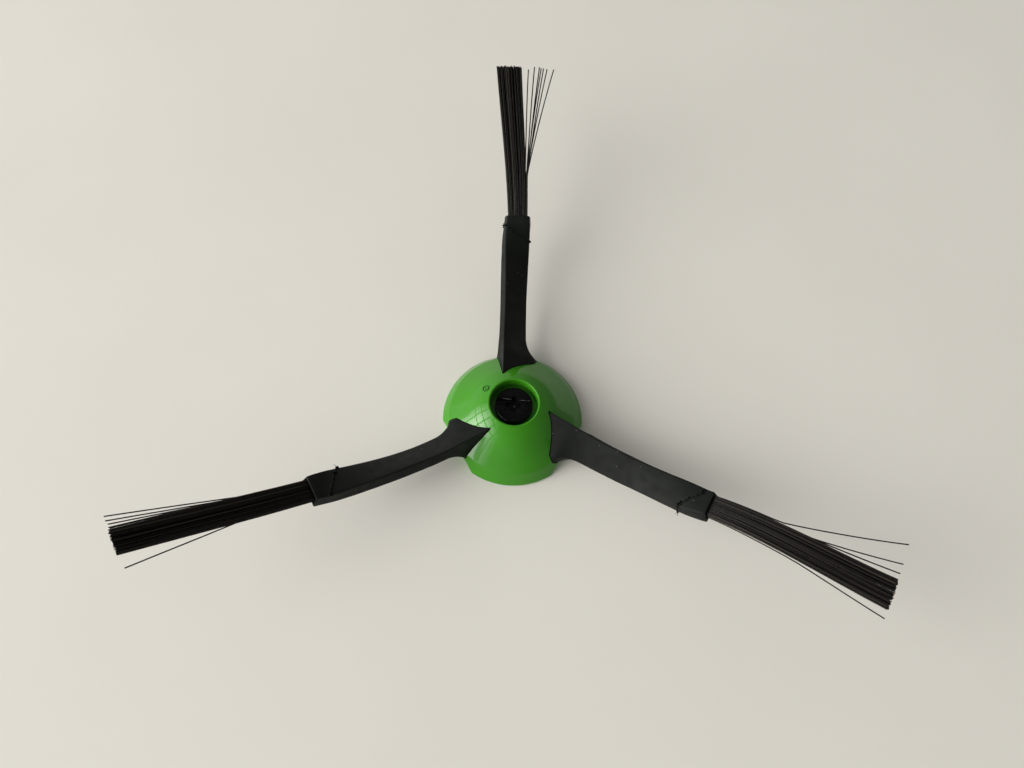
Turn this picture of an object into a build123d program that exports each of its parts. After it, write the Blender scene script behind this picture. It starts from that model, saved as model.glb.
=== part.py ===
"""Robot vacuum side brush: a moulded hub, three soft arms with bristle tufts, and a captive screw.

Units are millimetres. The hub's base lies on the plane z = 0, the axis of rotation is Z,
and the screw faces up. Arm number 1 points along +Y, the others follow every 120 degrees.
"""
import os
from math import asin, atan2, cos, radians, sin

from build123d import *

# Hub
base_diameter = 32.6        # outer edge of the dome where it meets the table
hub_height = 10.3           # top of the rim around the well
rim_diameter = 11.5         # outer edge of the rim's top
shoulder_diameter = 16.4    # where the gentle crown turns into the cone
shoulder_height = 9.05
skirt_step = 1.9            # how far the steep skirt runs in from the base's edge
skirt_height = 3.3          # where the cone turns into the skirt
crown_round = 14.0          # radius of the turn from crown to cone
skirt_round = 3.0           # radius of the turn from cone to skirt
wall = 1.8                  # wall of the hollow dome
flat_depth = 1.9            # how far each of the three flats cuts in from the base's edge
flat_edge_round = 0.7
base_edge_round = 0.35
rim_edge_round = 0.25

# Well, web, drive socket and ribs
well_diameter = 10.7
seat_height = 7.0           # face that the screw head bears on
web = 1.8                   # thickness of the plate under the screw head
boss_diameter = 12.4        # round boss on the underside
socket_width = 7.0          # square drive socket, across flats
socket_corner_round = 0.6
rib = 1.2                   # thickness of the three ribs between boss and skirt
rib_gap = 1.0               # from the base to the ribs' lower edge

# Captive screw
head_diameter = 8.35
head_height = 1.8
head_edge_round = 0.3
slot_width = 2.4
slot_depth = 0.7
slot_angle = -3.5           # direction of the slot about the axis, in degrees
cross_span = 3.7            # length of the cross recess's wings, end to end
cross_width = 1.3
cross_depth = 1.4
neck_diameter = 2.4
neck_play = 0.6             # free length of the neck under the web
head_gap = 0.1              # under the head, so that it turns freely
thread_diameter = 3.4
tip_height = 0.6            # end of the thread, above the base
tip_chamfer = 0.5

# Soft arms
arm_count = 3
first_arm_angle = 90.0
arm_width = 6.95            # wide face of the blade at its root
collar_width = 6.0          # wide face where the collar starts
mouth_width = 5.3           # wide face at the collar's end
arm_thickness = 2.6         # height of the blade's sides at its root
collar_thickness = 3.1
arm_level = 6.85            # height of the wide face's middle at the root
arm_bend_start = 17.0       # distance from the axis where the blade starts to curve upwards
arm_bend_radius = 60.0
arm_reach = 46.3            # distance from the axis to the collar's end
collar_length = 4.3         # tapered length at the end of the blade
arm_tilt = 39.0             # roll of the blade at its root, in degrees
untwist_start = 22.0        # distance from the axis where the roll starts to fade
untwist_end = 45.0          # distance from the axis where the blade is level
side_lean = 0.68            # share of the roll that the blade's sides follow
side_draft = 9.0            # outward lean of both sides where the blade is level, in degrees
arm_edge_round = 0.4
arm_bend = (0.3, 0.0, 0.65)     # how far each soft arm is bent to its left at the collar
arm_shift = (0.0, -1.4, 0.15)   # how far it is moved to its left with the collar left straight
flare_length = 4.1          # from the hub's flat to where the root's flare runs out
flare_width = 1.25          # widening of the wide face at the flat
flare_lift = 0.15           # rise of the ridge at the flat
flare_side = 0.3            # how far the foot of the steep side moves out at the flat
flare_drop = 4.2            # and how far it comes down
flare_under = 1.5           # how far the foot of the other side moves out at the flat
flare_limit = 1.5           # most that the flare grows inside the dome, as a share of its size at the flat
flare_stations = (-0.4, 0, 0.3, 0.62, 1)     # sections of the flare, as shares of its length from the flat
blade_start = 7.0           # distance from the axis where the blade starts, inside the dome
blade_spans = 4             # spans between sections along the free length

# Arm root inside the hub
tenon_width = 4.8
tenon_height = 2.0
tenon_level = 3.7           # height of the tenon's middle
foot_width = 8.0
foot_height = 4.0
foot_inner = 8.2            # from the axis to the foot's inner face
tenon_bite = 0.8            # how far the tenon runs on into the blade

# Bristle tufts
bristle_diameter = 0.3
bristle_length = 36.6       # from the collar's end to the cut tips
bristle_columns = 14
bristle_rows = 4
tuft_width = 4.7            # across the bristles where they leave the collar
tuft_thickness = 1.6
tuft_fan = (1.4, 1.17, 1.42)        # spread at the tips, as a share of the spread at the collar
tuft_rise = (20.1, 18.6, 18.7)      # climb of each tuft, in degrees
tuft_yaw = (5.3, -6.3, -2.7)        # sideways lean of each tuft to its left, in degrees
right_strays = ((7.7, 6.2, 5.2, 4.8, 4.0, 3.0, 1.8), (3.0, 2.0, 1.0), (1.5,))    # stray tips, outwards
left_strays = ((), (4.2,), (6.9, 3.3, 1.1))
block_depth = 3.0           # length of the tuft's fused root in the collar
block_margin = 0.1          # fused plastic around the outermost bristles
bristle_bite = 0.5          # how deep the bristles start inside the fused root

# Clearances
seat_clearance = 0.05       # rubber roots and tuft blocks against their seats
bore_clearance = 0.25       # screw neck in the web, on the radius
tool_overrun = 5.0          # how far cutting shapes run past what they cut

base_radius = base_diameter / 2
skirt_radius = base_radius - skirt_step
flat_distance = base_radius - flat_depth
flare_end = flat_distance + flare_length
collar_start = arm_reach - collar_length
free_length = arm_reach - arm_bend_start
web_height = seat_height - web
block_width = tuft_width + 2 * block_margin
block_thickness = tuft_thickness + 2 * block_margin
arm_angles = [first_arm_angle + 360 / arm_count * number for number in range(arm_count)]


def dome_blank(growth):
    """The solid dome with its flats, grown by an amount on every side and run on below the base."""
    skirt_spread = skirt_step / skirt_height
    with BuildPart() as blank:
        with BuildSketch(Plane.XZ) as outline:
            with BuildLine():
                Polyline(
                    (0, -tool_overrun),
                    (0, hub_height),
                    (rim_diameter / 2, hub_height),
                    (shoulder_diameter / 2, shoulder_height),
                    (skirt_radius, skirt_height),
                    (base_radius + tool_overrun * skirt_spread, -tool_overrun),
                    close=True,
                )
            make_face()
            shoulder = outline.vertices().sort_by_distance((shoulder_diameter / 2, shoulder_height))[0]
            fillet(shoulder, crown_round)
            skirt = outline.vertices().sort_by_distance((skirt_radius, skirt_height))[0]
            fillet(skirt, skirt_round)
            if growth:
                offset(amount=growth)
            with Locations((0, -2 * tool_overrun)):
                Rectangle(base_diameter, base_diameter, align=Align.MIN, mode=Mode.INTERSECT)
        revolve(axis=Axis.Z)
        with PolarLocations(flat_distance + growth, arm_count, first_arm_angle):
            Box(base_radius, base_diameter, base_diameter * 2,
                align=(Align.MIN, Align.CENTER, Align.CENTER), mode=Mode.SUBTRACT)
    return blank.part


def fade(distance, start, end):
    """Falls as a square from 1 at the start distance to 0 at the end distance and beyond."""
    share = min((distance - start) / (end - start), 1)
    return (1 - share) ** 2


def arm_plane(number, distance):
    """Plane across an arm: origin in the middle of its wide face, X to its left side, Y up."""
    rise = asin(max(distance - arm_bend_start, 0) / arm_bend_radius)
    height = arm_level + arm_bend_radius * (1 - cos(rise))
    share = max(distance - arm_bend_start, 0) / free_length
    sideways = arm_bend[number] * share ** 2 + arm_shift[number] * (3 - 2 * share) * share ** 2
    slope = 2 * arm_bend[number] * share + 6 * arm_shift[number] * share * (1 - share)
    heading = radians(arm_angles[number])
    turn = heading + atan2(slope, free_length)
    return Plane(
        origin=(
            distance * cos(heading) - sideways * sin(heading),
            distance * sin(heading) + sideways * cos(heading),
            height,
        ),
        x_dir=(-sin(turn), cos(turn), 0),
        z_dir=(cos(turn) * cos(rise), sin(turn) * cos(rise), sin(rise)),
    )


def arm_corners(distance):
    """Corners of the blade's section: ridge, foot of the steep side, underside, edge of the wide face."""
    along = max(distance - arm_bend_start, 0) / free_length
    to_collar = max(distance - arm_bend_start, 0) / (collar_start - arm_bend_start)
    past_collar = max(distance - collar_start, 0) / collar_length
    width = arm_width + (collar_width - arm_width) * min(to_collar, 1)
    width += (mouth_width - collar_width) * past_collar
    height = arm_thickness + (collar_thickness - arm_thickness) * along
    twist = max(distance - untwist_start, 0) / (untwist_end - untwist_start)
    levelled = min(twist, 1) ** 2
    roll = radians(arm_tilt * (1 - levelled))
    steep_lean = roll * side_lean + radians(side_draft * levelled)
    low_lean = roll * side_lean - radians(side_draft * levelled)
    flare = min(fade(distance, flat_distance, flare_end), flare_limit)
    across = width / 2 * cos(roll)
    up = width / 2 * sin(roll)
    ridge = (across, up + flare_lift * flare)
    steep_out = height * sin(steep_lean) + flare_side * flare
    steep_drop = height * cos(steep_lean) + flare_drop * flare
    steep = (across + steep_out, up - steep_drop)
    low = (-across - flare_width * flare, -up)
    under_out = flare_under * flare - height * sin(low_lean)
    under = (low[0] - under_out, low[1] - height * cos(low_lean))
    return ridge, steep, under, low


def blade_section(number, distance):
    """Sketch of the blade's section on its plane, with rounded edges."""
    with BuildSketch(arm_plane(number, distance)) as section:
        Polygon(*arm_corners(distance), align=None)
        fillet(section.vertices(), arm_edge_round)
    return section.sketch


def make_blade(number):
    """Blade: a flared root trimmed to the dome, a free length that curves and untwists, a tapered collar."""
    root_distances = [flat_distance + flare_length * share for share in flare_stations]
    span = (collar_start - flare_end) / blade_spans
    free_distances = [flare_end + span * step for step in range(blade_spans + 1)]
    collar_distances = [collar_start, collar_start + collar_length / 2, arm_reach]
    with BuildPart() as blade:
        for distance in [blade_start] + root_distances:
            add(blade_section(number, distance))
        loft(ruled=True)
        add(dome_blank(seat_clearance), mode=Mode.SUBTRACT)
        for distance in free_distances:
            add(blade_section(number, distance))
        loft()
        for distance in collar_distances:
            add(blade_section(number, distance))
        loft(ruled=True)
    return blade.part


def make_arm(number):
    """Arm: a blade outside the dome, a tenon through the wall, a foot inside and a pocket for the tuft."""
    blade = make_blade(number)
    foot_space = dome_blank(-wall - seat_clearance)
    collar = arm_plane(number, arm_reach)
    with BuildPart() as arm:
        with PolarLocations(foot_inner, 1, arm_angles[number]):
            with Locations((0, 0, tenon_level)):
                Box(base_radius, foot_width, foot_height, align=(Align.MIN, Align.CENTER, Align.CENTER))
        add(foot_space, mode=Mode.INTERSECT)
        with PolarLocations(foot_inner, 1, arm_angles[number]):
            with Locations((0, 0, tenon_level)):
                Box(flat_distance - foot_inner + tenon_bite, tenon_width, tenon_height,
                    align=(Align.MIN, Align.CENTER, Align.CENTER))
        add(blade)
        with BuildSketch(collar):
            with Locations((0, -collar_thickness / 2)):
                Rectangle(block_width + 2 * seat_clearance, block_thickness + 2 * seat_clearance)
        extrude(amount=-block_depth - seat_clearance, mode=Mode.SUBTRACT)
    return arm.part


def make_tuft(number):
    """Bristles that fan out from a fused root block, with a few strays at the sides."""
    collar = arm_plane(number, arm_reach)
    heading = radians(arm_angles[number] + tuft_yaw[number])
    rise = radians(tuft_rise[number])
    run = Vector(cos(heading) * cos(rise), sin(heading) * cos(rise), sin(rise)) * bristle_length
    root_middle = Vector(0, -collar_thickness / 2, -bristle_bite)
    fan = tuft_fan[number] - 1
    column_pitch = (tuft_width - bristle_diameter) / (bristle_columns - 1)
    row_pitch = (tuft_thickness - bristle_diameter) / (bristle_rows - 1)
    planes = []
    for column in range(bristle_columns):
        for row in range(bristle_rows):
            across = (column - (bristle_columns - 1) / 2) * column_pitch
            up = (row - (bristle_rows - 1) / 2) * row_pitch
            right_place = column * bristle_rows + row
            left_place = (bristle_columns - 1 - column) * bristle_rows + row
            stray = 0
            if right_place < len(right_strays[number]):
                stray = -right_strays[number][right_place]
            if left_place < len(left_strays[number]):
                stray = left_strays[number][left_place]
            root = collar.from_local_coords(root_middle + Vector(across, up, 0))
            spread = collar.x_dir * (across * fan + stray) + collar.y_dir * up * fan
            planes.append(Plane(origin=root, z_dir=run + spread))
    with BuildPart() as tuft:
        with BuildSketch(collar):
            with Locations((0, -collar_thickness / 2)):
                Rectangle(block_width, block_thickness)
        extrude(amount=-block_depth)
        with BuildSketch(*planes):
            RegularPolygon(bristle_diameter / 2, 6)
        extrude(amount=bristle_length + bristle_bite)
    return tuft.part


os.makedirs("parts", exist_ok=True)

# Hollow underside, around the boss and between the ribs
with BuildPart() as hollow:
    add(dome_blank(-wall))
    Cylinder(boss_diameter / 2, base_diameter * 2, mode=Mode.SUBTRACT)
    with PolarLocations(base_radius / 2, arm_count, first_arm_angle + 180 / arm_count):
        with Locations((0, 0, rib_gap)):
            Box(base_radius, rib, hub_height,
                align=(Align.CENTER, Align.CENTER, Align.MIN), mode=Mode.SUBTRACT)

# Hub
with BuildPart() as hub:
    add(dome_blank(0))
    flats = hub.faces().filter_by(GeomType.PLANE).filter_by(lambda face: abs(face.normal_at().Z) < 0.5)
    fillet(flats.edges().filter_by(GeomType.LINE, reverse=True), flat_edge_round)
    split(bisect_by=Plane.XY)
    fillet(hub.faces().sort_by(Axis.Z)[0].edges(), base_edge_round)
    add(hollow.part, mode=Mode.SUBTRACT)
    with Locations((0, 0, seat_height)):
        Cylinder(well_diameter / 2, hub_height,
                 align=(Align.CENTER, Align.CENTER, Align.MIN), mode=Mode.SUBTRACT)
    fillet(hub.faces().sort_by(Axis.Z)[-1].edges(), rim_edge_round)
    with BuildSketch(Plane.XY):
        RectangleRounded(socket_width, socket_width, socket_corner_round)
    extrude(amount=web_height, mode=Mode.SUBTRACT)
    Cylinder(neck_diameter / 2 + bore_clearance, base_diameter, mode=Mode.SUBTRACT)
    with PolarLocations(foot_inner, arm_count, first_arm_angle):
        with Locations((0, 0, tenon_level)):
            Box(base_radius, tenon_width + 2 * seat_clearance, tenon_height + 2 * seat_clearance,
                align=(Align.MIN, Align.CENTER, Align.CENTER), mode=Mode.SUBTRACT)
hub.part.label = "hub"
export_step(hub.part, "parts/hub.step")

# Captive screw
with BuildPart() as captive_screw:
    with Locations((0, 0, seat_height + head_gap)):
        Cylinder(head_diameter / 2, head_height, align=(Align.CENTER, Align.CENTER, Align.MIN))
    head_top = captive_screw.faces().sort_by(Axis.Z)[-1]
    fillet(head_top.edges(), head_edge_round)
    with Locations(Location((0, 0, seat_height + head_gap + head_height), (0, 0, slot_angle))):
        Box(head_diameter, slot_width, 2 * slot_depth, mode=Mode.SUBTRACT)
        Box(cross_span, cross_width, 2 * cross_depth, mode=Mode.SUBTRACT)
        Box(cross_width, cross_span, 2 * cross_depth, mode=Mode.SUBTRACT)
    thread_top = web_height - neck_play
    with Locations((0, 0, thread_top)):
        Cylinder(neck_diameter / 2, seat_height + head_gap - thread_top,
                 align=(Align.CENTER, Align.CENTER, Align.MIN))
    with Locations((0, 0, tip_height)):
        Cylinder(thread_diameter / 2, thread_top - tip_height, align=(Align.CENTER, Align.CENTER, Align.MIN))
    tip = captive_screw.faces().sort_by(Axis.Z)[0]
    chamfer(tip.edges(), tip_chamfer)
captive_screw.part.label = "captive_screw"
export_step(captive_screw.part, "parts/captive_screw.step")

# Arms and their tufts
for number in range(arm_count):
    arm = make_arm(number)
    arm.label = "arm_" + str(number + 1)
    export_step(arm, "parts/" + arm.label + ".step")
    tuft = make_tuft(number)
    tuft.label = "tuft_" + str(number + 1)
    export_step(tuft, "parts/" + tuft.label + ".step")
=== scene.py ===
"""Looks of a robot vacuum side brush: rubber arms, bristle tufts, screw, materials, camera and light.

Sizes are in millimetres and repeat those of the solids. MM turns them into metres.
"""
import math
import random
from collections import namedtuple

import bmesh
import bpy
from mathutils import Matrix, Vector, noise


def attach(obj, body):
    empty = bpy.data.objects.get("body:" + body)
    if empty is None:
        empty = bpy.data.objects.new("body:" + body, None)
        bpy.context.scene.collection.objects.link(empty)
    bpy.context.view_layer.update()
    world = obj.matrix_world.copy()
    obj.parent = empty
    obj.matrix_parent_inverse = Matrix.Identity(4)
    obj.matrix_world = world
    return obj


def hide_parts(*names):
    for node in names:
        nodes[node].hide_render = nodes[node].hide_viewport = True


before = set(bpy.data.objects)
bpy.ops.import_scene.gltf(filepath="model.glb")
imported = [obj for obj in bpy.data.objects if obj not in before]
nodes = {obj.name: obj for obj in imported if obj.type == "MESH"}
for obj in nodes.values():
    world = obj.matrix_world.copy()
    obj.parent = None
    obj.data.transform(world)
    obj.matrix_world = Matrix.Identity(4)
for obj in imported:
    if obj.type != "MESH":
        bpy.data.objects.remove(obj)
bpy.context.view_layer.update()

MM = 0.001
UP = Vector((0, 0, 1))
hub = nodes["hub"]

# Arms
ARM_COUNT = 3
FIRST_ARM_ANGLE = 90.0
ARM_WIDTH = 6.95
COLLAR_WIDTH = 6.0
MOUTH_WIDTH = 5.3
ARM_THICKNESS = 2.6
COLLAR_THICKNESS = 3.1
ARM_LEVEL = 6.85
ARM_BEND_START = 17.0
ARM_BEND_RADIUS = 60.0
ARM_REACH = 46.3
COLLAR_LENGTH = 4.3
ARM_TILT = 39.0             # degrees by which a blade is rolled at its root
UNTWIST_START = 22.0
UNTWIST_END = 45.0
SIDE_LEAN = 0.68
SIDE_DRAFT = 9.0
ARM_BEND = (0.3, 0.0, 0.65)                 # sideways, as each soft arm lies
ARM_SHIFT = (0.0, -1.4, 0.15)               # sideways, with the collar parallel to the arm's own line
FLAT_DISTANCE = 14.4
FLARE_LENGTH = 4.1
FLARE_WIDTH = 1.25
FLARE_LIFT = 0.15
FLARE_SIDE = 0.3
FLARE_DROP = 4.2
FLARE_UNDER = 1.5
FLARE_LIMIT = 1.5
EDGE_ROUND = 0.35           # along each side of a blade's edge
EDGE_POINTS = 5
FACE_POINTS = 3             # between the rounded edges
ROOT_END = 20.0             # distance from the axis where every line of the blade is clear of the hub
ROOT_RINGS = 16
FREE_RINGS = 40
SEAT_DEPTH = 0.4            # how far the root runs into the hub's wall
MARCH_STEP = 0.2
MARCH_MARGIN = 2.0          # how far past the foot the search for the hub's face goes
WAVER = 0.03                # unevenness of the moulded rubber
WAVER_SCALE = 0.35
# radius of the painted shadow line round each root
SHADOW_SEAM_RADIUS = 0.12
RIM_ROUND = 0.2
RIM_MIDDLE = 0.3            # share of the rounding at its middle ring
POCKET_WIDTH = 4.9
POCKET_THICKNESS = 1.9
POCKET_DEPTH = 2.6
ARM_SHARP = 40.0            # degrees from which an edge is shaded sharp

# Arm roots inside the hub
FOOT_INNER = 8.2
FOOT_OUTER = 12.5
FOOT_TOP_OUTER = 9.6        # the foot's top is cut back under the dome
FOOT_SHOULDER = 2.5         # height where the cut starts
FOOT_WIDTH = 8.0
FOOT_HEIGHT = 4.0
TENON_WIDTH = 4.8
TENON_HEIGHT = 2.0
TENON_LEVEL = 3.7
TENON_END = 15.0
TENON_INSET = 1.0           # from the foot's inner face to the tenon's start
FOOT_BEVEL = 0.2

# Moulding flash across the collars
# Stops are a distance from the axis and a turn round the section: -1 to 0 is the low side,
# 0 to 1 the wide face and 1 to 2 the steep side
FLASH_STOPS = (
    ((44.5, 2.0), (44.3, 1.4), (44.2, 1.0), (43.6, 0.84), (42.9, 0.68), (42.2, 0.48), (41.4, 0.2),
     (40.9, 0.0), (40.9, -0.3)),
    ((43.7, 1.0), (43.4, 0.9), (42.9, 0.78), (42.4, 0.64), (41.7, 0.44), (40.8, 0.2), (40.0, 0.0),
     (39.8, -0.3)),
    ((44.5, 0.93), (44.3, 0.84), (43.6, 0.64), (43.0, 0.52), (42.3, 0.44), (42.0, 0.32), (41.2, 0.2),
     (40.8, 0.1), (40.8, 0.0), (40.6, -0.5), (40.4, -1.0)),
)
# Hairs start at a stop and run on by steps to the left, up and outwards
FLASH_HAIRS = (
    ((0, ((0.0, 0.0, 0.0), (0.2, 0.1, 0.0), (0.45, 0.15, -0.1))),
     (8, ((0.0, 0.0, 0.0), (-0.15, 0.0, -0.05), (-0.3, 0.0, -0.1)))),
    ((7, ((0.0, 0.0, 0.0), (-0.5, 0.2, -0.1), (-0.9, 0.3, 0.15), (-1.25, 0.35, 0.45))),),
    ((10, ((0.0, 0.0, 0.0), (-0.35, -0.1, -0.15), (-0.65, -0.2, -0.35))),
     (10, ((0.0, 0.0, 0.0), (-0.45, -0.1, 0.15), (-0.85, -0.2, 0.3)))),
)
FLASH_SEED = 40
FLASH_STEPS = 6             # between two stops
FLASH_RADIUS = 0.04
FLASH_UNEVEN = (0.5, 1.4)   # range of the radius along the line, in shares of it
FLASH_SWAY = 0.09
FLASH_BEAD = 0.26
BEAD_SIZES = (0.8, 1.3)     # range of a bead's radius, in shares of it
BEAD_WIDTHS = (0.7, 1.3)    # range of its stretch sideways
BEAD_HEIGHTS = (0.6, 1.0)
BEAD_DETAIL = 2
FLASH_CLUMPS = ((0,), (0, 5), (1, 6))       # stops with a ragged clump
CLUMP_BEADS = 9
CLUMP_SPREAD = 0.45
CLUMP_SIZES = (0.4, 0.8)    # range of a clump bead's radius, in shares of a bead's
HAIR_ROOT = 1.7             # radius at a hair's start, in shares of the line's
HAIR_TAPER = 1.1            # what it loses along the hair
LINE_SIDES = 8              # sides of each thin round line
LIP_RADIUS = 0.13           # raised lip beside the flash
LIP_SHIFT = 0.28

# Bristles
BRISTLE_DIAMETER = 0.27
BRISTLE_LENGTH = 36.6
BRISTLE_COLUMNS = 15
BRISTLE_ROWS = 6
BRISTLE_SIDES = 8
BRISTLE_RINGS = 16
BRISTLE_ROOT = 2.4          # length inside the collar
BRISTLE_SHARP = 60.0        # degrees from which an edge is shaded sharp
ROW_STAGGER = 0.25          # shift of the rows to either side, in column pitches
TUFT_SEED = 7
TUFT_WIDTH = 4.7
TUFT_THICKNESS = 1.6
TUFT_FAN = (1.4, 1.17, 1.42)
TUFT_RISE = (20.1, 18.6, 18.7)
TUFT_YAW = (5.3, -6.3, -2.7)
# Stray bristles: how far the tip stands off, and the share of the length where it leaves its bundle
RIGHT_STRAYS = (
    ((7.7, 0.25), (6.2, 0.25), (5.2, 0.25), (4.8, 0.25), (4.0, 0.25), (3.0, 0.25), (1.8, 0.25)),
    ((3.0, 0.26), (2.0, 0.26), (1.0, 0.26)),
    ((1.5, 0.5),),
)
LEFT_STRAYS = ((), ((3.3, 0.36),), ((6.9, 0.38), (3.3, 0.52), (1.1, 0.55)))
STRAY_CURVE = (1.15, 1.0, 1.15)             # 1 is a straight stray, and more bends away later
TUFT_BEND = 0.6             # how far the bristles leave the collar along its own direction
ROOT_JITTER = 0.03
TIP_JITTER = 0.08
MID_JITTER = 0.06
CUT_JITTER = 0.18
TONE = "tone"               # attribute with a number from 0 to 1 for each bristle
PALE_START = 0.5            # tone from which a bristle is paler
TONE_SEED = 60

# Screw
HEAD_RADIUS = 4.175
HEAD_BOTTOM = 7.1
HEAD_TOP = 8.9
HEAD_ROUND = 0.3
SLOT_LENGTH = 3 * HEAD_RADIUS               # runs out past the head
SLOT_WIDTH = 2.4
SLOT_DEPTH = 0.7
SLOT_ANGLE = -3.5
CROSS_SPAN = 3.8
CROSS_WIDTH = 1.35
CROSS_DEPTH = 1.4
RECESS_STEPS = 24           # round a recess with round ends
CUT_MARGIN = 1.0            # how far the cutters stand above the head
HEAD_BEVEL = 0.07
BEVEL_ANGLE = 50.0          # degrees from which an edge is bevelled
HEAD_SEGMENTS = 96
HEAD_STEPS = 4              # along the rounded top edge
SCREW_SHARP = 35.0          # degrees from which an edge is shaded sharp
NECK_RADIUS = 1.2
THREAD_RADIUS = 1.7
THREAD_ROOT = 1.3
THREAD_TOP = 4.6
THREAD_PITCH = 0.8
TIP_LEVEL = 0.6
TIP_TAPER = 0.5
SHANK_SEGMENTS = 40
SHANK_RINGS = 110
GLINT_RADIUS = 0.04          # bright bare-metal lines on the screw that stand in for glints: painted glints
GLINT_RUNS = ((-2.6, -0.6), (1.1, 2.7), (3.1, 3.5))      # along the slot's far edge
GLINT_STEPS = 8
GLINT_ARC = (200.0, 250.0)   # round the head's edge, in degrees
GLINT_ARC_STEPS = 16
GLINT_EDGE = 0.3             # how far into the edge's rounding the arc lies, in shares of it
GLINT_SPOT = Vector((0.25, 0.08, 7.55))      # at the bottom of the cross
GLINT_SPOT_RADIUS = 0.13
GLINT_SEED = 3

# Moulded ring mark on the dome
MARK_ANGLE = 151.9
MARK_DISTANCE = 7.2
MARK_RADIUS = 0.7
MARK_LINE = 0.14
MARK_STEPS = 48             # round the ring
MARK_DOT = 0.22
MARK_DOT_HEIGHT = 0.5       # in shares of a full ball
MARK_DOT_DETAIL = 3
MARK_RAY_HEIGHT = 16.0      # above the dome, where the search for its face starts

# Camera, read from the photograph's perspective
CAMERA_PLACE = Vector((-5.05, -66.5, 173.05))
CAMERA_TARGET = Vector((-0.31, 8.82, 0.0))
CAMERA_ROLL = 5.4
CAMERA_LENS = 28.125
SENSOR_WIDTH = 36.0
CLIP_START = 10.0
CLIP_END = 20000.0

# Window light, room and floor
LIGHT_COLOUR = (1.0, 0.985, 0.96)
WINDOW_PLACE = Vector((-1340.0, -470.0, 921.0))
WINDOW_AIM = Vector((0.0, 0.0, 0.0))
WINDOW_WIDTH = 2420.0
WINDOW_HEIGHT = 1720.0
WINDOW_COLUMNS = 5
WINDOW_ROWS = 4
BAR_SHARE = 0.16            # share of a pane that is bar
BAR_LIGHT = 0.2             # light of a bar against that of the glass
WINDOW_POWER = 150.0
BACK_FADE = 0.15            # light at the window's back end against its middle
BACK_SHARE = 0.4            # share of the width over which it fades there
FRONT_FADE = 0.05
FRONT_SHARE = 0.6
TOP_FADE = 0.0
TOP_SHARE = 0.7             # share of the height
ROOM_LEFT = 1.25            # strength of the room's light on the window's side
ROOM_RIGHT = 0.28
ROOM_TOP = 0.26             # share of it straight overhead
ROOM_RISE = 0.35            # height, from 0 to 1, where it starts to darken
ROOM_TURN = 0.35            # how far round the room the light of the window's side reaches
FLOOR_SIZE = 3000.0
FLOOR_DROP = 0.02           # below the part, so that the two faces don't coincide


# Materials
NOISE_LOW = 0.3             # most values of a noise lie between these two
NOISE_HIGH = 0.7


def start_material(name):
    """A material with its shader, ready for nodes."""
    material = bpy.data.materials.new(name)
    material.use_nodes = True
    return material, material.node_tree, material.node_tree.nodes["Principled BSDF"]


def add_noise(tree, scale, detail=3.0, stretch=(1, 1, 1)):
    """Noise value in the object's own space, with a scale in features per metre."""
    place = tree.nodes.new("ShaderNodeTexCoord")
    mapping = tree.nodes.new("ShaderNodeMapping")
    mapping.inputs["Scale"].default_value = stretch
    texture = tree.nodes.new("ShaderNodeTexNoise")
    texture.inputs["Scale"].default_value = scale
    texture.inputs["Detail"].default_value = detail
    tree.links.new(place.outputs["Object"], mapping.inputs["Vector"])
    tree.links.new(mapping.outputs["Vector"], texture.inputs["Vector"])
    return texture.outputs["Fac"]


def add_math(tree, operation, *values):
    """Result of an operation on values, each given as a number or as a socket."""
    node = tree.nodes.new("ShaderNodeMath")
    node.operation = operation
    for socket, value in zip(node.inputs, values):
        if isinstance(value, bpy.types.NodeSocket):
            tree.links.new(value, socket)
        else:
            socket.default_value = value
    return node.outputs["Value"]


def add_range(tree, value, low, high, start=NOISE_LOW, end=NOISE_HIGH, smooth=False):
    """Turns a value, such as noise, into a range of numbers."""
    ramp = tree.nodes.new("ShaderNodeMapRange")
    ramp.interpolation_type = "SMOOTHSTEP" if smooth else "LINEAR"
    ramp.inputs["From Min"].default_value = start
    ramp.inputs["From Max"].default_value = end
    ramp.inputs["To Min"].default_value = low
    ramp.inputs["To Max"].default_value = high
    tree.links.new(value, ramp.inputs["Value"])
    return ramp.outputs["Result"]


def add_mix(tree, factor, first, second):
    """Mix of two colours, each given as numbers or as a socket."""
    mix = tree.nodes.new("ShaderNodeMix")
    mix.data_type = "RGBA"
    tree.links.new(factor, mix.inputs["Factor"])
    for socket, colour in ((mix.inputs[6], first), (mix.inputs[7], second)):
        if isinstance(colour, bpy.types.NodeSocket):
            tree.links.new(colour, socket)
        else:
            socket.default_value = (*colour, 1)
    return mix.outputs[2]


def add_bump(tree, shader, height, strength, distance):
    """Bump on a shader from a height value, with its depth in millimetres as the distance."""
    bump = tree.nodes.new("ShaderNodeBump")
    bump.inputs["Strength"].default_value = strength
    bump.inputs["Distance"].default_value = distance * MM
    tree.links.new(height, bump.inputs["Height"])
    tree.links.new(bump.outputs["Normal"], shader.inputs["Normal"])


def add_specks(tree, scale, size, share):
    """Sparse round specks: one in some of the cells of a cell pattern."""
    place = tree.nodes.new("ShaderNodeTexCoord")
    cells = tree.nodes.new("ShaderNodeTexVoronoi")
    cells.inputs["Scale"].default_value = scale
    tree.links.new(place.outputs["Object"], cells.inputs["Vector"])
    parts = tree.nodes.new("ShaderNodeSeparateColor")
    tree.links.new(cells.outputs["Color"], parts.inputs["Color"])
    near = add_math(tree, "LESS_THAN", cells.outputs["Distance"], size)
    chosen = add_math(tree, "LESS_THAN", parts.outputs["Red"], share)
    return add_math(tree, "MULTIPLY", near, chosen)


def add_blotches(tree, scale, first, second, stretch=(1, 1, 1)):
    """Two shades of a colour in soft blotches, with a scale in features per metre."""
    clouds = add_range(tree, add_noise(tree, scale, stretch=stretch), 0, 1)
    return add_mix(tree, clouds, first, second)


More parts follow.
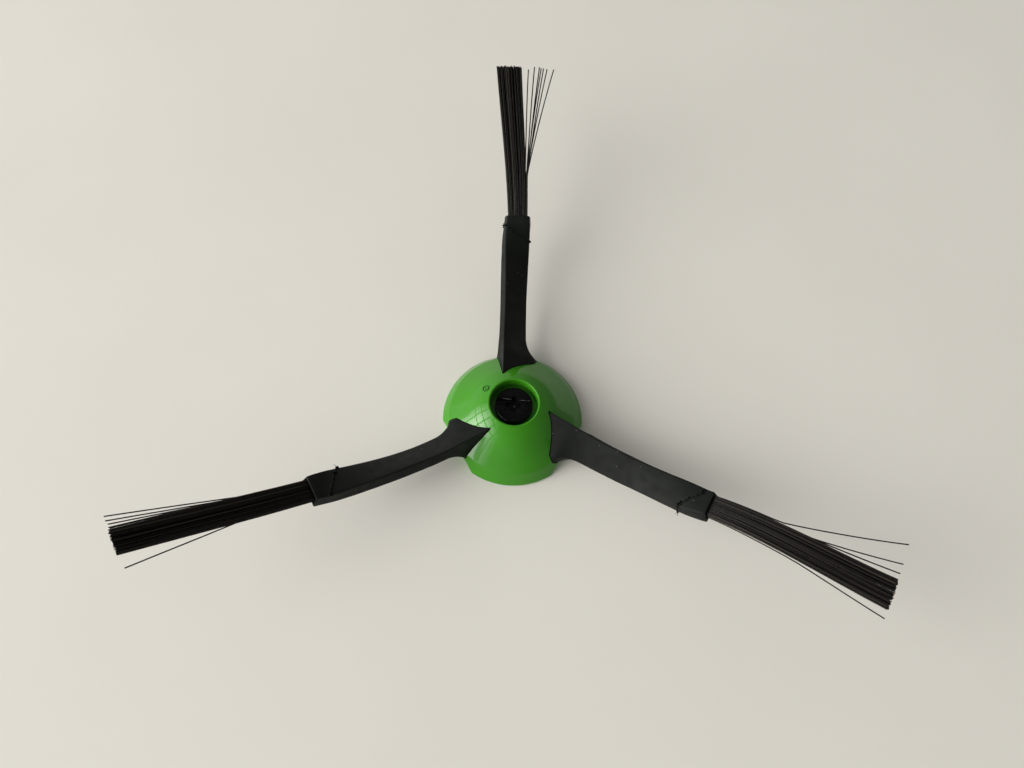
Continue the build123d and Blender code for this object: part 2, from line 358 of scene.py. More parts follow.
def set_roughness(tree, shader, scale, low, high):
    """Roughness that varies softly between two values."""
    roughness = add_range(tree, add_noise(tree, scale), low, high)
    tree.links.new(roughness, shader.inputs["Roughness"])


def green_plastic():
    """Glossy moulded plastic with faint flow marks."""
    material, tree, shader = start_material("green_plastic")
    colour = add_blotches(tree, 90, (0.0405, 0.232, 0.0085), (0.0465, 0.25, 0.0105), stretch=(1, 1, 2.5))
    tree.links.new(colour, shader.inputs["Base Color"])
    set_roughness(tree, shader, 260, low=0.03, high=0.05)
    shader.inputs["IOR"].default_value = 1.5
    shader.inputs["Specular IOR Level"].default_value = 0.36
    add_bump(tree, shader, add_noise(tree, 700), strength=0.08, distance=0.02)
    return material


def black_rubber():
    """Dull moulded rubber with fine grain, worn patches and dust specks."""
    material, tree, shader = start_material("black_rubber")
    colour = add_blotches(tree, 220, (0.0032, 0.0044, 0.0036), (0.0062, 0.0080, 0.0067))
    dust = add_specks(tree, scale=800, size=0.09, share=0.16)
    dusty = add_mix(tree, dust, colour, (0.11, 0.11, 0.105))
    tree.links.new(dusty, shader.inputs["Base Color"])
    set_roughness(tree, shader, 500, low=0.5, high=0.66)
    shader.inputs["Specular IOR Level"].default_value = 0.17
    add_bump(tree, shader, add_noise(tree, 4200, detail=2.0), strength=0.35, distance=0.03)
    return material


def black_screw():
    """Black coated screw, slightly uneven."""
    material, tree, shader = start_material("black_coating")
    colour = add_blotches(tree, 500, (0.002, 0.002, 0.0021), (0.004, 0.004, 0.0042))
    tree.links.new(colour, shader.inputs["Base Color"])
    set_roughness(tree, shader, 1200, low=0.24, high=0.38)
    shader.inputs["Specular IOR Level"].default_value = 0.12
    add_bump(tree, shader, add_noise(tree, 5000), strength=0.12, distance=0.02)
    return material


def black_nylon():
    """Half glossy nylon, a little brown, uneven along the bristles and paler on some of them."""
    material, tree, shader = start_material("black_nylon")
    colour = add_blotches(tree, 900, (0.0020, 0.0016, 0.0012), (0.0048, 0.0040, 0.0030))
    tone = tree.nodes.new("ShaderNodeAttribute")
    tone.attribute_name = TONE
    pale = add_range(tree, tone.outputs["Fac"], 0, 1, PALE_START, 1)
    toned = add_mix(tree, pale, colour, (0.030, 0.026, 0.020))
    tree.links.new(toned, shader.inputs["Base Color"])
    set_roughness(tree, shader, 700, low=0.26, high=0.38)
    shader.inputs["Specular IOR Level"].default_value = 0.17
    add_bump(tree, shader, add_noise(tree, 9000, detail=1.0), strength=0.1, distance=0.01)
    return material


def flash_and_shade_rubber():
    """Rough rubber of the moulding flash, its colour darker than the rubber's as painted shade, also used
    for the painted shadow line at the arms' roots.
    """
    material, tree, shader = start_material("flash_and_shade_rubber")
    colour = add_blotches(tree, 1500, (0.001, 0.001, 0.001), (0.0025, 0.0025, 0.0025))
    tree.links.new(colour, shader.inputs["Base Color"])
    set_roughness(tree, shader, 900, low=0.8, high=0.95)
    shader.inputs["Specular IOR Level"].default_value = 0.08
    return material


def glint_metal():
    """Dull bare steel, uneven in colour and gloss, for the painted glints on the screw."""
    material, tree, shader = start_material("glint_metal")
    colour = add_blotches(tree, 2500, (0.25, 0.25, 0.255), (0.5, 0.5, 0.5))
    tree.links.new(colour, shader.inputs["Base Color"])
    set_roughness(tree, shader, 3000, low=0.4, high=0.6)
    shader.inputs["Metallic"].default_value = 1.0
    return material


def painted_shade_plastic():
    """Darker copy of the green plastic for the moulded mark: painted shade standing in for the shadow in the
    mark's groove.
    """
    material, tree, shader = start_material("painted_shade_plastic")
    colour = add_blotches(tree, 900, (0.014, 0.10, 0.003), (0.02, 0.125, 0.004))
    tree.links.new(colour, shader.inputs["Base Color"])
    set_roughness(tree, shader, 700, low=0.25, high=0.4)
    shader.inputs["Specular IOR Level"].default_value = 0.2
    return material


def pale_table():
    """Plain pale table top, open to a view from below and to light on the part's underside."""
    material, tree, shader = start_material("pale_table")
    colour = add_blotches(tree, 18, (0.80, 0.778, 0.715), (0.825, 0.803, 0.74))
    tree.links.new(colour, shader.inputs["Base Color"])
    set_roughness(tree, shader, 60, low=0.6, high=0.75)
    shader.inputs["Specular IOR Level"].default_value = 0.1
    sides = tree.nodes.new("ShaderNodeNewGeometry")
    clear = tree.nodes.new("ShaderNodeBsdfTransparent")
    choice = tree.nodes.new("ShaderNodeMixShader")
    output = tree.nodes["Material Output"]
    rays = tree.nodes.new("ShaderNodeLightPath")
    opened = sides.outputs["Backfacing"]
    for ray in ("Is Diffuse Ray", "Is Shadow Ray"):
        opened = add_math(tree, "MAXIMUM", opened, rays.outputs[ray])
    tree.links.new(opened, choice.inputs["Fac"])
    tree.links.new(shader.outputs["BSDF"], choice.inputs[1])
    tree.links.new(clear.outputs["BSDF"], choice.inputs[2])
    tree.links.new(choice.outputs["Shader"], output.inputs["Surface"])
    return material


# Pieces
def dress_node(name, material):
    """Gives a solid's own object a material."""
    for slot in nodes[name].material_slots:
        slot.material = material


def add_object(name, data):
    """A new object in the scene."""
    made = bpy.data.objects.new(name, data)
    bpy.context.scene.collection.objects.link(made)
    return made


def add_piece(name, mesh, material, body="brush", node=None):
    """A finished mesh as a piece that rides on a body and may stand for a solid."""
    mesh.materials.clear()
    mesh.materials.append(material)
    piece = add_object(name, mesh)
    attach(piece, body)
    if node:
        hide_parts(node)
    return piece


def smooth_mesh(name, points, faces):
    """A mesh in metres from points in millimetres, with smooth shading."""
    mesh = bpy.data.meshes.new(name)
    mesh.from_pydata([Vector(point) * MM for point in points], [], faces)
    mesh.shade_smooth()
    return mesh


def add_shape(built, points, faces):
    """Adds points in millimetres and their faces to a mesh that is being built."""
    shape = smooth_mesh("shape", points, faces)
    built.from_mesh(shape)
    bpy.data.meshes.remove(shape)


def finish_piece(built, name, material, body="brush", node=None, sharp=None):
    """Turns a mesh that is being built into a smooth piece, with sharp edges from an angle in degrees."""
    bmesh.ops.recalc_face_normals(built, faces=built.faces)
    mesh = bpy.data.meshes.new(name)
    built.to_mesh(mesh)
    built.free()
    mesh.shade_smooth()
    if sharp:
        mesh.set_sharp_from_angle(angle=math.radians(sharp))
    return add_piece(name, mesh, material, body=body, node=node)


def axis_point(radius, angle, height):
    """A point at a radius, an angle in radians and a height, round the upright axis."""
    return Vector((radius * math.cos(angle), radius * math.sin(angle), height))


def join_rings(rings, closed=False):
    """Points and faces of a capped tube, or of a closed loop, through rings of equal length."""
    count = len(rings[0])
    points = [point for ring in rings for point in ring]
    faces = []
    for row in range(len(rings) if closed else len(rings) - 1):
        for side in range(count):
            following = (side + 1) % count
            low = row * count
            high = (row + 1) % len(rings) * count
            faces.append((low + side, low + following, high + following, high + side))
    if not closed:
        faces.append(tuple(reversed(range(count))))
        faces.append(tuple(range(len(points) - count, len(points))))
    return points, faces


def tube(path, radii, sides, left):
    """Rings round a path, turned to a direction that lies across it."""
    rings = []
    for number, middle in enumerate(path):
        ahead = path[min(number + 1, len(path) - 1)] - path[max(number - 1, 0)]
        up = ahead.cross(left).normalized()
        across = up.cross(ahead).normalized()
        ring = []
        for side in range(sides):
            angle = 2 * math.pi * side / sides
            ring.append(middle + (across * math.cos(angle) + up * math.sin(angle)) * radii[number])
        rings.append(ring)
    return rings


def loop(path, radius, sides, left):
    """Points and faces of a round line along a closed path."""
    around = path[-1:] + path + path[:1]
    rings = tube(around, [radius] * len(around), sides, left)
    return join_rings(rings[1:-1], closed=True)


# Arms
Station = namedtuple("Station", "middle left up outward")


def arm_heading(number, yaw=0.0):
    """Direction of an arm round the axis in radians, turned by a yaw in degrees."""
    return math.radians(FIRST_ARM_ANGLE + 360 / ARM_COUNT * number + yaw)


def direction(heading, rise):
    """Unit vector with a heading round the axis and a rise above the level, in radians."""
    return Vector((math.cos(heading) * math.cos(rise), math.sin(heading) * math.cos(rise), math.sin(rise)))


def arm_frame(number, distance):
    """Middle of an arm's wide face with its left, up and outward directions."""
    free_length = ARM_REACH - ARM_BEND_START
    past = max(distance - ARM_BEND_START, 0)
    share = past / free_length
    rise = math.asin(past / ARM_BEND_RADIUS)
    heading = arm_heading(number)
    bend = ARM_BEND[number]
    shift = ARM_SHIFT[number]
    sideways = bend * share ** 2 + shift * (3 - 2 * share) * share ** 2
    slope = 2 * bend * share + 6 * shift * share * (1 - share)
    turn = heading + math.atan2(slope, free_length)
    middle = Vector((
        distance * math.cos(heading) - sideways * math.sin(heading),
        distance * math.sin(heading) + sideways * math.cos(heading),
        ARM_LEVEL + ARM_BEND_RADIUS * (1 - math.cos(rise)),
    ))
    left = Vector((-math.sin(turn), math.cos(turn), 0))
    outward = direction(turn, rise)
    return Station(middle, left, outward.cross(left), outward)


def arm_corners(distance):
    """Corners of a blade's section: ridge, foot of the steep side, underside, edge of the wide face."""
    past = max(distance - ARM_BEND_START, 0)
    along = past / (ARM_REACH - ARM_BEND_START)
    collar_start = ARM_REACH - COLLAR_LENGTH
    width = ARM_WIDTH + (COLLAR_WIDTH - ARM_WIDTH) * min(past / (collar_start - ARM_BEND_START), 1)
    width += (MOUTH_WIDTH - COLLAR_WIDTH) * max(distance - collar_start, 0) / COLLAR_LENGTH
    height = ARM_THICKNESS + (COLLAR_THICKNESS - ARM_THICKNESS) * along
    twist = max(distance - UNTWIST_START, 0) / (UNTWIST_END - UNTWIST_START)
    levelled = min(twist, 1) ** 2
    roll = math.radians(ARM_TILT * (1 - levelled))
    draft = math.radians(SIDE_DRAFT * levelled)
    lean = roll * SIDE_LEAN
    fade = 1 - min((distance - FLAT_DISTANCE) / FLARE_LENGTH, 1)
    flare = min(fade ** 2, FLARE_LIMIT)
    half = Vector((math.cos(roll), math.sin(roll))) * width / 2
    steep_side = Vector((math.sin(lean + draft), -math.cos(lean + draft))) * height
    low_side = Vector((math.sin(lean - draft), -math.cos(lean - draft))) * height
    ridge = half + Vector((0, FLARE_LIFT)) * flare
    low = -half - Vector((FLARE_WIDTH, 0)) * flare
    steep = half + steep_side + Vector((FLARE_SIDE, -FLARE_DROP)) * flare
    under = low + low_side - Vector((FLARE_UNDER, 0)) * flare
    return ridge, steep, under, low


def arm_outline(distance):
    """Points round a blade's section, with rounded edges."""
    corners = arm_corners(distance)
    outline = []
    for number, corner in enumerate(corners):
        before = corners[number - 1]
        after = corners[(number + 1) % len(corners)]
        start = corner + (before - corner).normalized() * EDGE_ROUND
        end = corner + (after - corner).normalized() * EDGE_ROUND
        for step in range(EDGE_POINTS):
            share = step / (EDGE_POINTS - 1)
            outline.append(start.lerp(corner, share).lerp(corner.lerp(end, share), share))
        next_start = after + (corner - after).normalized() * EDGE_ROUND
        for step in range(FACE_POINTS):
            outline.append(end.lerp(next_start, (step + 1) / (FACE_POINTS + 1)))
    return outline


def arm_point(number, distance, place):
    """A point of a blade's section, given in the section's own directions, in the part's frame."""
    station = arm_frame(number, distance)
    point = station.middle + station.left * place.x + station.up * place.y
    return point + (station.left + station.up) * WAVER * noise.noise(point * WAVER_SCALE)


def root_distance(number, index):
    """Distance from the axis where one line along a blade meets the hub."""
    distance = ROOT_END
    point = arm_point(number, distance, arm_outline(distance)[index])
    while distance > FOOT_INNER - MARCH_MARGIN:
        next_distance = distance - MARCH_STEP
        next_point = arm_point(number, next_distance, arm_outline(next_distance)[index])
        move = next_point - point
        hit, place = hub.ray_cast(point * MM, move.normalized(), distance=move.length * MM)[:2]
        if hit:
            return distance - MARCH_STEP * (place / MM - point).length / move.length
        distance = next_distance
        point = next_point
    return distance


def collar_ring(number, depth, width, thickness):
    """A ring of the collar's end outline, drawn in to a width and thickness, some depth below the end."""
    middle, left, up, outward = arm_frame(number, ARM_REACH)
    ring = []
    for place in arm_outline(ARM_REACH):
        across = place.x * width / MOUTH_WIDTH
        down = (place.y + COLLAR_THICKNESS / 2) * thickness / COLLAR_THICKNESS - COLLAR_THICKNESS / 2
        ring.append(middle + left * across + up * down - outward * depth)
    return ring


def arm_blade(number):
    """Blade from its root on the hub to its collar, with the pocket that holds the bristles."""
    lines = range(len(arm_outline(ROOT_END)))
    roots = [root_distance(number, index) - SEAT_DEPTH for index in lines]
    rings = []
    for row in range(ROOT_RINGS):
        ring = []
        for index in lines:
            distance = roots[index] + (ROOT_END - roots[index]) * row / ROOT_RINGS
            ring.append(arm_point(number, distance, arm_outline(distance)[index]))
        rings.append(ring)
    for row in range(FREE_RINGS + 1):
        distance = ROOT_END + (ARM_REACH - RIM_ROUND - ROOT_END) * row / FREE_RINGS
        rings.append([arm_point(number, distance, place) for place in arm_outline(distance)])
    rim = 2 * RIM_ROUND
    cut = rim * RIM_MIDDLE
    rings.append(collar_ring(number, RIM_ROUND * RIM_MIDDLE, MOUTH_WIDTH - cut, COLLAR_THICKNESS - cut))
    rings.append(collar_ring(number, 0, MOUTH_WIDTH - rim, COLLAR_THICKNESS - rim))
    rings.append(collar_ring(number, 0, POCKET_WIDTH + rim / 2, POCKET_THICKNESS + rim / 2))
    rings.append(collar_ring(number, RIM_ROUND, POCKET_WIDTH, POCKET_THICKNESS))
    rings.append(collar_ring(number, POCKET_DEPTH, POCKET_WIDTH, POCKET_THICKNESS))
    return join_rings(rings)


def arm_foot(number):
    """Foot inside the hub and tenon through its wall, as two closed shapes."""
    low = TENON_LEVEL - FOOT_HEIGHT / 2
    high = TENON_LEVEL + FOOT_HEIGHT / 2
    foot = [(FOOT_INNER, low), (FOOT_OUTER, low), (FOOT_OUTER, FOOT_SHOULDER),
            (FOOT_TOP_OUTER, high), (FOOT_INNER, high)]
    tenon_low = TENON_LEVEL - TENON_HEIGHT / 2
    tenon_high = TENON_LEVEL + TENON_HEIGHT / 2
    tenon_start = FOOT_INNER + TENON_INSET
    tenon = [(tenon_start, tenon_low), (TENON_END, tenon_low),
             (TENON_END, tenon_high), (tenon_start, tenon_high)]
    station = arm_frame(number, 0)
    shapes = []
    for profile, width in ((foot, FOOT_WIDTH), (tenon, TENON_WIDTH)):
        rings = []
        for side in (-width / 2, width / 2):
            edge = station.left * side
            rings.append([station.outward * across + edge + UP * height for across, height in profile])
        shapes.append(join_rings(rings))
    return shapes


def make_arm(number, material):
    """One rubber arm as a single piece."""
    built = bmesh.new()
    for points, faces in arm_foot(number):
        add_shape(built, points, faces)
    bmesh.ops.recalc_face_normals(built, faces=built.faces)
    bmesh.ops.bevel(built, geom=built.edges, offset=FOOT_BEVEL * MM, segments=2, profile=0.5, affect="EDGES")
    add_shape(built, *arm_blade(number))
    name = f"rubber_arm_{number + 1}"
    return finish_piece(built, name, material, node=f"arm_{number + 1}", sharp=ARM_SHARP)


def make_shadow_seam(number, material):
    """Dark line where a root meets the hub: painted shadow standing in for the shade in the gap there."""
    path = []
    for index in range(len(arm_outline(ROOT_END))):
        distance = root_distance(number, index)
        path.append(arm_point(number, distance, arm_outline(distance)[index]))
    outward = arm_frame(number, 0).outward
    seam = smooth_mesh(f"root_shadow_seam_{number + 1}", *loop(path, SHADOW_SEAM_RADIUS, LINE_SIDES, outward))
    return add_piece(seam.name, seam, material)


def girth_point(number, distance, turn):
    """A point on a blade, given by a turn round its section."""
    ridge, steep, under, low = arm_corners(distance)
    if turn < 0:
        place = low.lerp(under, -turn)
    elif turn <= 1:
        place = low.lerp(ridge, turn)
    else:
        place = ridge.lerp(steep, turn - 1)
    station = arm_frame(number, distance)
    return station.middle + station.left * place.x + station.up * place.y


def flash_path(number):
    """Points along a line of flash, close together."""
    path = []
    stops = FLASH_STOPS[number]
    for (distance, turn), (next_distance, next_turn) in zip(stops, stops[1:]):
        for step in range(FLASH_STEPS):
            share = step / FLASH_STEPS
            place = distance + (next_distance - distance) * share
            path.append(girth_point(number, place, turn + (next_turn - turn) * share))
    path.append(girth_point(number, *stops[-1]))
    return path


def add_tube(built, path, radii, left):
    """Adds a tube along a path to a mesh that is being built."""
    add_shape(built, *join_rings(tube(path, radii, LINE_SIDES, left)))


def add_bead(built, place, radius, draw):
    """Adds an uneven bead to a mesh that is being built."""
    stretch = [draw.uniform(*limits) for limits in (BEAD_WIDTHS, BEAD_WIDTHS, BEAD_HEIGHTS)]
    matrix = Matrix.Translation(place * MM) @ Matrix.Diagonal((*stretch, 1))
    bmesh.ops.create_icosphere(built, subdivisions=BEAD_DETAIL, radius=radius * MM, matrix=matrix)


def make_flash(number, material):
    """Ragged line of moulding flash across a collar, with beads and a few short hairs."""
    draw = random.Random(FLASH_SEED + number)
    stops = FLASH_STOPS[number]
    station = arm_frame(number, stops[0][0])
    path = []
    for point in flash_path(number):
        path.append(point + station.outward * draw.uniform(-FLASH_SWAY, FLASH_SWAY))
    radii = [FLASH_RADIUS * draw.uniform(*FLASH_UNEVEN) for point in path]
    built = bmesh.new()
    add_tube(built, path, radii, station.outward)
    for stop in stops:
        add_bead(built, girth_point(number, *stop), FLASH_BEAD * draw.uniform(*BEAD_SIZES), draw)
    for index in FLASH_CLUMPS[number]:
        distance, turn = stops[index]
        for bead in range(CLUMP_BEADS):
            along = distance + CLUMP_SPREAD * draw.uniform(-1, 1)
            around = turn + CLUMP_SPREAD / COLLAR_WIDTH * draw.uniform(-1, 1)
            radius = FLASH_BEAD * draw.uniform(*CLUMP_SIZES)
            add_bead(built, girth_point(number, along, around), radius, draw)
    for index, steps in FLASH_HAIRS[number]:
        start = girth_point(number, *stops[index])
        hair = []
        for aside, above, beyond in steps:
            hair.append(start + station.left * aside + station.up * above + station.outward * beyond)
        thin = [FLASH_RADIUS * (HAIR_ROOT - HAIR_TAPER * step / len(hair)) for step in range(len(hair))]
        add_tube(built, hair, thin, station.outward)
    return finish_piece(built, f"collar_flash_{number + 1}", material)


def make_lip(number, material):
    """Low raised lip along the collar's side of the flash."""
    outward = arm_frame(number, FLASH_STOPS[number][0][0]).outward
    path = [point + outward * LIP_SHIFT for point in flash_path(number)]
    built = bmesh.new()
    add_tube(built, path, [LIP_RADIUS] * len(path), outward)
    return finish_piece(built, f"collar_lip_{number + 1}", material)


# Bristles
def bristle_path(number, across, up_place, stray, draw):
    """Middle line of one bristle from inside the collar to its cut tip."""
    off, split = stray
    middle, left, up, outward = arm_frame(number, ARM_REACH)
    aim = direction(arm_heading(number, TUFT_YAW[number]), math.radians(TUFT_RISE[number]))
    length = BRISTLE_LENGTH + draw.uniform(-CUT_JITTER, CUT_JITTER)
    root = middle + left * across + up * (up_place - COLLAR_THICKNESS / 2)
    fan = TUFT_FAN[number] - 1
    tip_shift = left * (across * fan + draw.gauss(0, TIP_JITTER))
    tip_shift += up * (up_place * fan + draw.gauss(0, TIP_JITTER))
    mid_shift = left * draw.gauss(0, MID_JITTER) + up * draw.gauss(0, MID_JITTER)
    path = [root - outward * BRISTLE_ROOT]
    for ring in range(BRISTLE_RINGS):
        share = ring / (BRISTLE_RINGS - 1)
        straight = root + aim * length * share
        bend = (outward - aim) * length * TUFT_BEND * share * (1 - share) ** 2
        apart = max((share - split) / (1 - split), 0) ** STRAY_CURVE[number]
        sway = mid_shift * math.sin(math.pi * share)
        path.append(straight + bend + tip_shift * share + sway + left * off * apart)
    return path


def make_tuft(number, material):
    """All bristles of one tuft as a single piece."""
    draw = random.Random(TUFT_SEED + number)
    shade = random.Random(TONE_SEED + number)
    column_pitch = (TUFT_WIDTH - BRISTLE_DIAMETER) / (BRISTLE_COLUMNS - 1 + 2 * ROW_STAGGER)
    row_pitch = (TUFT_THICKNESS - BRISTLE_DIAMETER) / (BRISTLE_ROWS - 1)
    places = []
    for column in range(BRISTLE_COLUMNS):
        for row in range(BRISTLE_ROWS):
            stagger = ROW_STAGGER if row % 2 else -ROW_STAGGER
            across = (column - (BRISTLE_COLUMNS - 1) / 2 + stagger) * column_pitch
            up_place = (row - (BRISTLE_ROWS - 1) / 2) * row_pitch
            places.append((across, up_place))
    strays = [(0.0, 0.0)] * len(places)
    for index, (off, split) in enumerate(RIGHT_STRAYS[number]):
        strays[index] = (-off, split)
    for index, (off, split) in enumerate(LEFT_STRAYS[number]):
        strays[len(places) - 1 - index] = (off, split)
    left = arm_frame(number, ARM_REACH).left
    tones = []
    points = []
    faces = []
    for (across, up_place), stray in zip(places, strays):
        across += draw.gauss(0, ROOT_JITTER)
        up_place += draw.gauss(0, ROOT_JITTER)
        path = bristle_path(number, across, up_place, stray, draw)
        radii = [BRISTLE_DIAMETER / 2] * len(path)
        bristle_points, bristle_faces = join_rings(tube(path, radii, BRISTLE_SIDES, left))
        first = len(points)
        points += bristle_points
        tones += [shade.random()] * len(bristle_points)
        faces += [tuple(index + first for index in face) for face in bristle_faces]
    mesh = smooth_mesh(f"bristles_{number + 1}", points, faces)
    mesh.set_sharp_from_angle(angle=math.radians(BRISTLE_SHARP))
    mesh.attributes.new(TONE, "FLOAT", "POINT").data.foreach_set("value", tones)
    return add_piece(mesh.name, mesh, material, node=f"tuft_{number + 1}")


# Screw
def lathe_rings(profile, segments):
    """Rings round the axis from a profile of radius and height."""
    turns = [2 * math.pi * segment / segments for segment in range(segments)]
    return [[axis_point(radius, turn, height) for turn in turns] for radius, height in profile]


def screw_head():
    """Round head with a rounded top edge."""
    profile = [(HEAD_RADIUS - HEAD_ROUND, HEAD_BOTTOM), (HEAD_RADIUS, HEAD_BOTTOM + HEAD_ROUND)]
    for step in range(HEAD_STEPS + 1):
        angle = math.pi / 2 * step / HEAD_STEPS
        profile.append((
            HEAD_RADIUS - HEAD_ROUND * (1 - math.cos(angle)),
            HEAD_TOP - HEAD_ROUND * (1 - math.sin(angle)),
        ))
    return join_rings(lathe_rings(profile, HEAD_SEGMENTS))


def recess(length, width, depth, angle, round_ends):
    """Cutter for a slot in the head: a straight bar, or one with round ends."""
    half = length / 2
    outline = [(half, -width / 2), (half, width / 2), (-half, width / 2), (-half, -width / 2)]
    if round_ends:
        outline = []
        for step in range(RECESS_STEPS):
            turn = 2 * math.pi * (step + 0.5) / RECESS_STEPS
            shift = half - width / 2
            shift = shift if math.cos(turn) > 0 else -shift
            outline.append((shift + width / 2 * math.cos(turn), width / 2 * math.sin(turn)))
    turned = Matrix.Rotation(math.radians(angle), 3, "Z")
    rings = []
    for height in (HEAD_TOP - depth, HEAD_TOP + CUT_MARGIN):
        rings.append([turned @ Vector((x, y, height)) for x, y in outline])
    return join_rings(rings)


def cut_head():
    """Head mesh with its slot and cross recess cut and their edges bevelled."""
    head = add_object("head", smooth_mesh("head", *screw_head()))
    cutters = []
    for length, width, depth, angle, round_ends in (
        (SLOT_LENGTH, SLOT_WIDTH, SLOT_DEPTH, SLOT_ANGLE, False),
        (CROSS_SPAN, CROSS_WIDTH, CROSS_DEPTH, SLOT_ANGLE, True),
        (CROSS_SPAN, CROSS_WIDTH, CROSS_DEPTH, SLOT_ANGLE + 90, True),
    ):
        shape = recess(length, width, depth, angle, round_ends)
        cutter = add_object("cutter", smooth_mesh("cutter", *shape))
        cut = head.modifiers.new("cut", "BOOLEAN")
        cut.object = cutter
        cut.solver = "EXACT"
        cutters.append(cutter)
    bevel = head.modifiers.new("bevel", "BEVEL")
    bevel.width = HEAD_BEVEL * MM
    bevel.segments = 2
    bevel.limit_method = "ANGLE"
    bevel.angle_limit = math.radians(BEVEL_ANGLE)
    bpy.context.view_layer.update()
    mesh = bpy.data.meshes.new_from_object(head.evaluated_get(bpy.context.evaluated_depsgraph_get()))
    for spare in [head, *cutters]:
        bpy.data.objects.remove(spare)
    return mesh


def screw_shank():
    """Neck and threaded shank."""
    rings = []
    for row in range(SHANK_RINGS + 1):
        height = TIP_LEVEL + (HEAD_BOTTOM + HEAD_ROUND - TIP_LEVEL) * row / SHANK_RINGS
        ring = []
        for segment in range(SHANK_SEGMENTS):
            turn = segment / SHANK_SEGMENTS
            wave = abs((height / THREAD_PITCH - turn) % 1 - 0.5) * 2
            radius = THREAD_ROOT + (THREAD_RADIUS - THREAD_ROOT) * wave
            radius -= max(TIP_TAPER - (height - TIP_LEVEL), 0)
            if height > THREAD_TOP:
                radius = NECK_RADIUS
            ring.append(axis_point(radius, 2 * math.pi * turn, height))
        rings.append(ring)
    return join_rings(rings)


def make_screw(material):
    """Captive screw with its thread."""
    mesh = cut_head()
    built = bmesh.new()
    built.from_mesh(mesh)
    add_shape(built, *screw_shank())
    built.to_mesh(mesh)
    built.free()
    mesh.name = "slotted_screw"
    mesh.shade_smooth()
    mesh.set_sharp_from_angle(angle=math.radians(SCREW_SHARP))
    return add_piece(mesh.name, mesh, material, body="screw", node="captive_screw")


def add_glint_line(built, path):
    """Adds a thin line that tapers off at both ends to a mesh that is being built."""
    radii = []
    for step in range(len(path)):
        radii.append(GLINT_RADIUS * math.sin(math.pi * (step + 1) / (len(path) + 1)))
    add_tube(built, path, radii, UP)


def make_glint_lines(material):
    """Thin lines and a spot of bright bare metal on the slot's far edge, the head's edge and the cross,
    standing in for glints as painted highlights.
    """
    built = bmesh.new()
    turned = Matrix.Rotation(math.radians(SLOT_ANGLE), 3, "Z")
    for start, end in GLINT_RUNS:
        run = []
        for step in range(GLINT_STEPS + 1):
            along = start + (end - start) * step / GLINT_STEPS
            run.append(turned @ Vector((along, SLOT_WIDTH / 2, HEAD_TOP)))
        add_glint_line(built, run)
    add_bead(built, GLINT_SPOT, GLINT_SPOT_RADIUS, random.Random(GLINT_SEED))
    start, end = GLINT_ARC
    radius = HEAD_RADIUS - HEAD_ROUND * GLINT_EDGE
    arc = []
    for step in range(GLINT_ARC_STEPS + 1):
        angle = math.radians(start + (end - start) * step / GLINT_ARC_STEPS)
        arc.append(axis_point(radius, angle, HEAD_TOP - HEAD_ROUND * GLINT_EDGE))
    add_glint_line(built, arc)
    return finish_piece(built, "glint_lines", material, body="screw")


# Ring mark
def make_mark(material):
    """Small raised ring with a dot, moulded on the dome."""
    above = axis_point(MARK_DISTANCE, math.radians(MARK_ANGLE), MARK_RAY_HEIGHT)
    place, normal = hub.ray_cast(above * MM, -UP)[1:3]
    turned = normal.to_track_quat("Z", "Y").to_matrix().to_4x4()
    path = []
    for step in range(MARK_STEPS):
        path.append(axis_point(MARK_RADIUS, 2 * math.pi * step / MARK_STEPS, 0))
    built = bmesh.new()
    add_shape(built, *loop(path, MARK_LINE, LINE_SIDES, UP))
    flat = Matrix.Diagonal((1, 1, MARK_DOT_HEIGHT, 1))
    bmesh.ops.create_icosphere(built, subdivisions=MARK_DOT_DETAIL, radius=MARK_DOT * MM, matrix=flat)
    bmesh.ops.transform(built, matrix=Matrix.Translation(place) @ turned, verts=built.verts)
    return finish_piece(built, "moulded_mark", material)


# Stage
def look_matrix(place, target, roll=0.0):
    """Placement that looks from a place at a target, with a roll in degrees."""
    back = (place - target).normalized()
    level = UP.cross(back).normalized()
    over = back.cross(level)
    turn = math.radians(roll)
    right = level * math.cos(turn) + over * math.sin(turn)
    up = over * math.cos(turn) - level * math.sin(turn)
    turned = Matrix((right, up, back)).transposed().to_4x4()
    return Matrix.Translation(place * MM) @ turned


def add_floor():
    """Pale table under the brush."""
    half = FLOOR_SIZE / 2
    corners = [(-half, -half, -FLOOR_DROP), (half, -half, -FLOOR_DROP),
               (half, half, -FLOOR_DROP), (-half, half, -FLOOR_DROP)]
    mesh = smooth_mesh("table", corners, [(0, 1, 2, 3)])
    mesh.materials.append(pale_table())
    table = add_object("table", mesh)


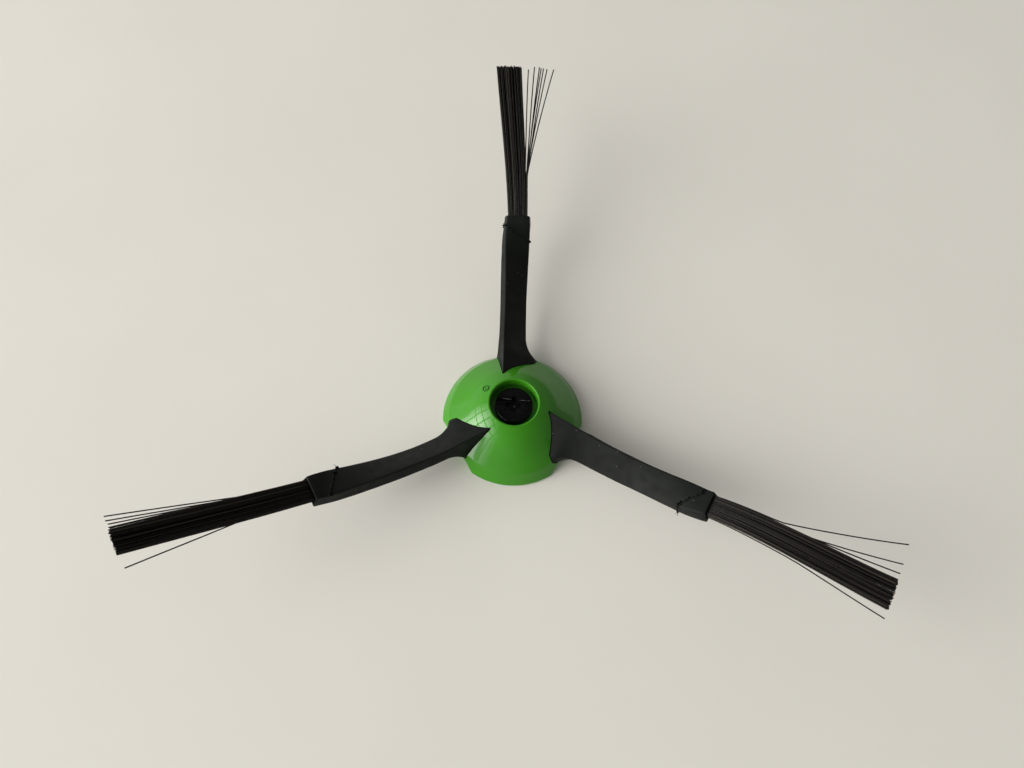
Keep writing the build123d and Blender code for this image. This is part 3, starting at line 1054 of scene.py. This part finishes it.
def add_window():
    """Soft light through a window with panes, on the left, which fades towards its ends and its top."""
    lamp = bpy.data.lights.new("window", "AREA")
    lamp.shape = "RECTANGLE"
    lamp.size = WINDOW_WIDTH * MM
    lamp.size_y = WINDOW_HEIGHT * MM
    lamp.energy = WINDOW_POWER
    lamp.color = LIGHT_COLOUR
    lamp.use_nodes = True
    tree = lamp.node_tree
    place = tree.nodes.new("ShaderNodeNewGeometry")
    parts = tree.nodes.new("ShaderNodeSeparateXYZ")
    tree.links.new(place.outputs["Parametric"], parts.inputs["Vector"])
    across = parts.outputs["X"]
    height = parts.outputs["Y"]
    light = add_range(tree, across, BACK_FADE, 1, 0, BACK_SHARE, smooth=True)
    for fade in (
        add_range(tree, across, 1, FRONT_FADE, 1 - FRONT_SHARE, 1, smooth=True),
        add_range(tree, height, 1, TOP_FADE, 1 - TOP_SHARE, 1, smooth=True),
    ):
        light = add_math(tree, "MULTIPLY", light, fade)
    for along, count in ((across, WINDOW_COLUMNS), (height, WINDOW_ROWS)):
        within = add_math(tree, "FRACT", add_math(tree, "MULTIPLY", along, count))
        glass = add_math(tree, "GREATER_THAN", within, BAR_SHARE)
        light = add_math(tree, "MULTIPLY", light, add_range(tree, glass, BAR_LIGHT, 1, 0, 1))
    tree.links.new(light, tree.nodes["Emission"].inputs["Strength"])
    window = add_object("window", lamp)
    window.matrix_world = look_matrix(WINDOW_PLACE, WINDOW_AIM)


def add_camera():
    """Camera at the photograph's angle."""
    lens = bpy.data.cameras.new("camera")
    lens.sensor_fit = "HORIZONTAL"
    lens.sensor_width = SENSOR_WIDTH
    lens.lens = CAMERA_LENS
    lens.clip_start = CLIP_START * MM
    lens.clip_end = CLIP_END * MM
    camera = add_object("camera", lens)
    camera.matrix_world = look_matrix(CAMERA_PLACE, CAMERA_TARGET, CAMERA_ROLL)
    bpy.context.scene.camera = camera


def add_world():
    """Dim light from the room, brighter on the window's side and darker overhead."""
    world = bpy.data.worlds.new("room")
    world.use_nodes = True
    tree = world.node_tree
    background = tree.nodes["Background"]
    background.inputs["Color"].default_value = (*LIGHT_COLOUR, 1)
    place = tree.nodes.new("ShaderNodeTexCoord")
    parts = tree.nodes.new("ShaderNodeSeparateXYZ")
    tree.links.new(place.outputs["Generated"], parts.inputs["Vector"])
    across = add_range(tree, parts.outputs["X"], ROOM_LEFT, ROOM_RIGHT, -1, ROOM_TURN)
    overhead = add_range(tree, parts.outputs["Z"], 1, ROOM_TOP, ROOM_RISE, 1)
    strength = add_math(tree, "MULTIPLY", across, overhead)
    tree.links.new(strength, background.inputs["Strength"])
    bpy.context.scene.world = world


plastic = green_plastic()
rubber = black_rubber()
nylon = black_nylon()
coating = black_screw()
# darker rubber: partly the flash's own, partly painted shade on its beads and the painted shadow line at the
# roots
flash_and_shade = flash_and_shade_rubber()
dress_node("hub", plastic)
dress_node("captive_screw", coating)
for number in range(ARM_COUNT):
    dress_node(f"arm_{number + 1}", rubber)
    dress_node(f"tuft_{number + 1}", nylon)
    make_arm(number, rubber)
    make_shadow_seam(number, flash_and_shade)
    make_flash(number, flash_and_shade)
    make_lip(number, rubber)
    make_tuft(number, nylon)
make_screw(coating)
make_glint_lines(glint_metal())
# the mark is drawn in darker plastic as painted shade
make_mark(painted_shade_plastic())

add_floor()
add_window()
add_world()
add_camera()
bpy.context.scene.view_settings.view_transform = "Standard"
